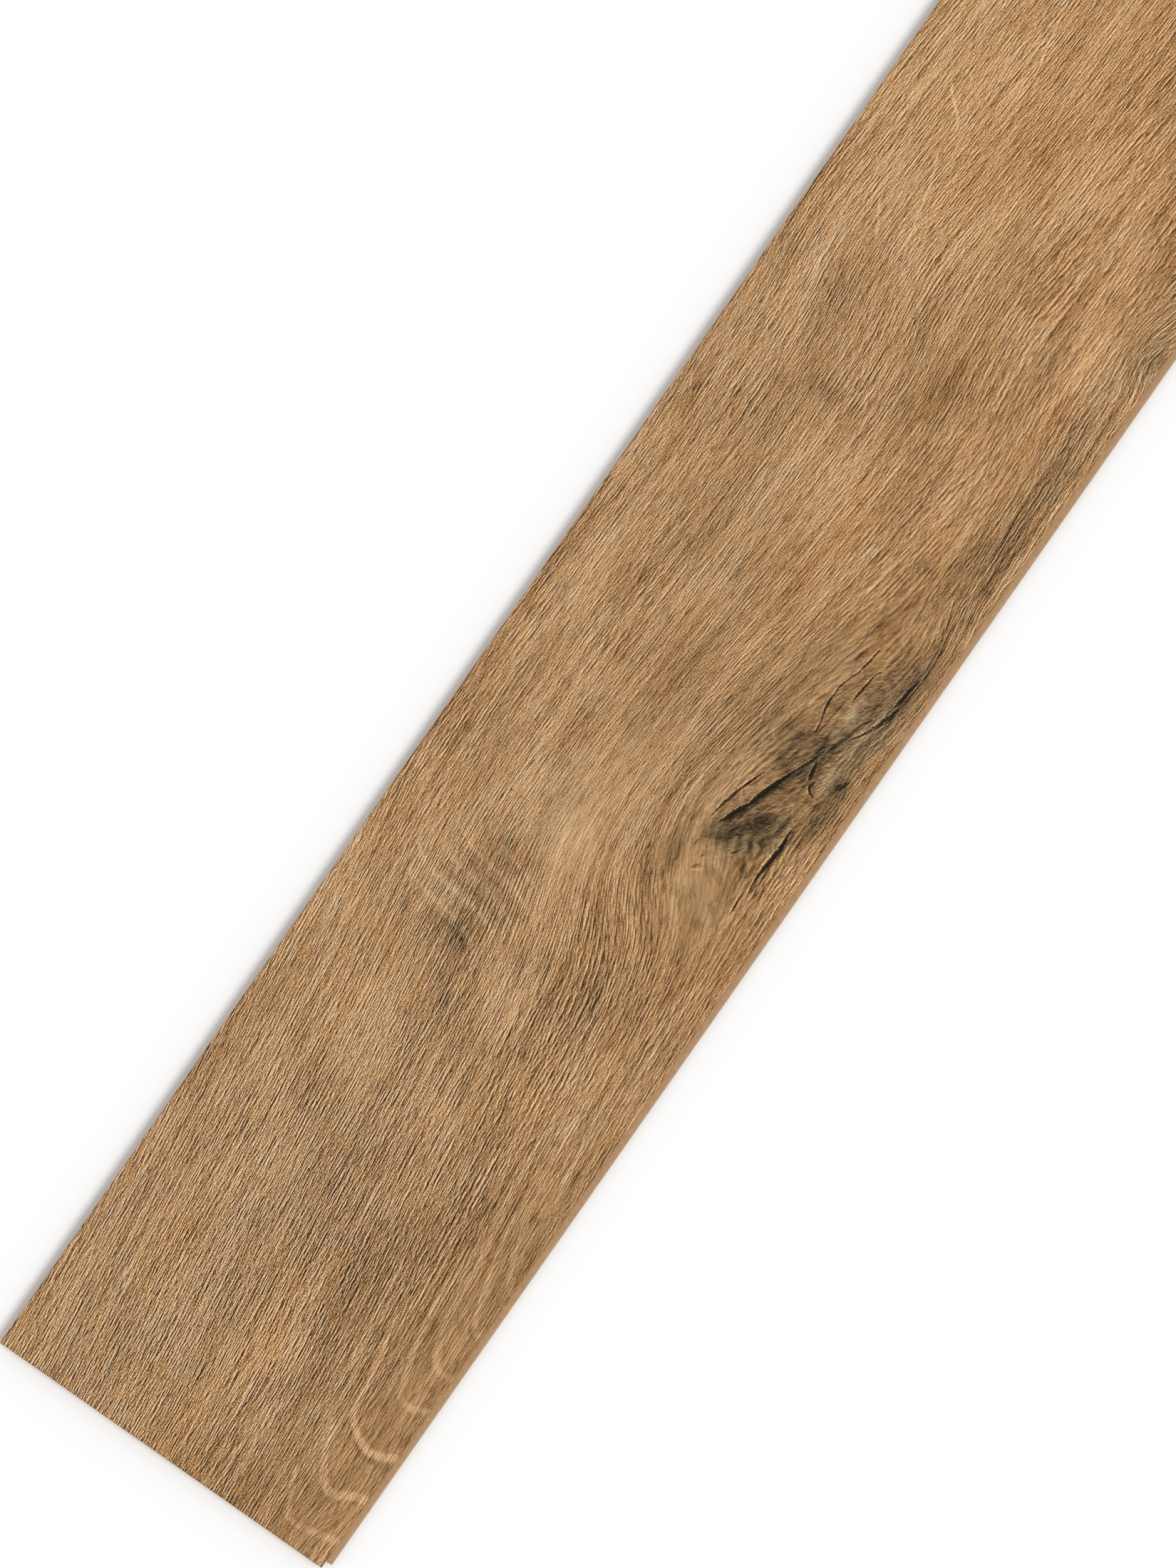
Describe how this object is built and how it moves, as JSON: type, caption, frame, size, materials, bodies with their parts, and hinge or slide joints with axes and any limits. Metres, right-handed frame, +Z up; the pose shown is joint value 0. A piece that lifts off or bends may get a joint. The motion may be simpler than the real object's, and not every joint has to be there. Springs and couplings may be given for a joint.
{
  "type": "laminate floor plank",
  "caption": "Flat click-together laminate floor plank with a wood-grain decor face, tongues on one long edge and one end, grooves on the others.",
  "frame": {"origin": "on the underside, below the centre of the decor face", "axes": "+X along the plank towards the end with the tongue, +Y across it towards the long edge with the groove, +Z up through the decor face"},
  "size_m": [1.2884, 0.1954, 0.008],
  "materials": {
    "laminate": "satin oak-grain decor with embossed pores, plain fibreboard on the milled edges, plain backing paper below"
  },
  "bodies": {
    "root": {"plank": "laminate"}
  },
  "joints": []
}
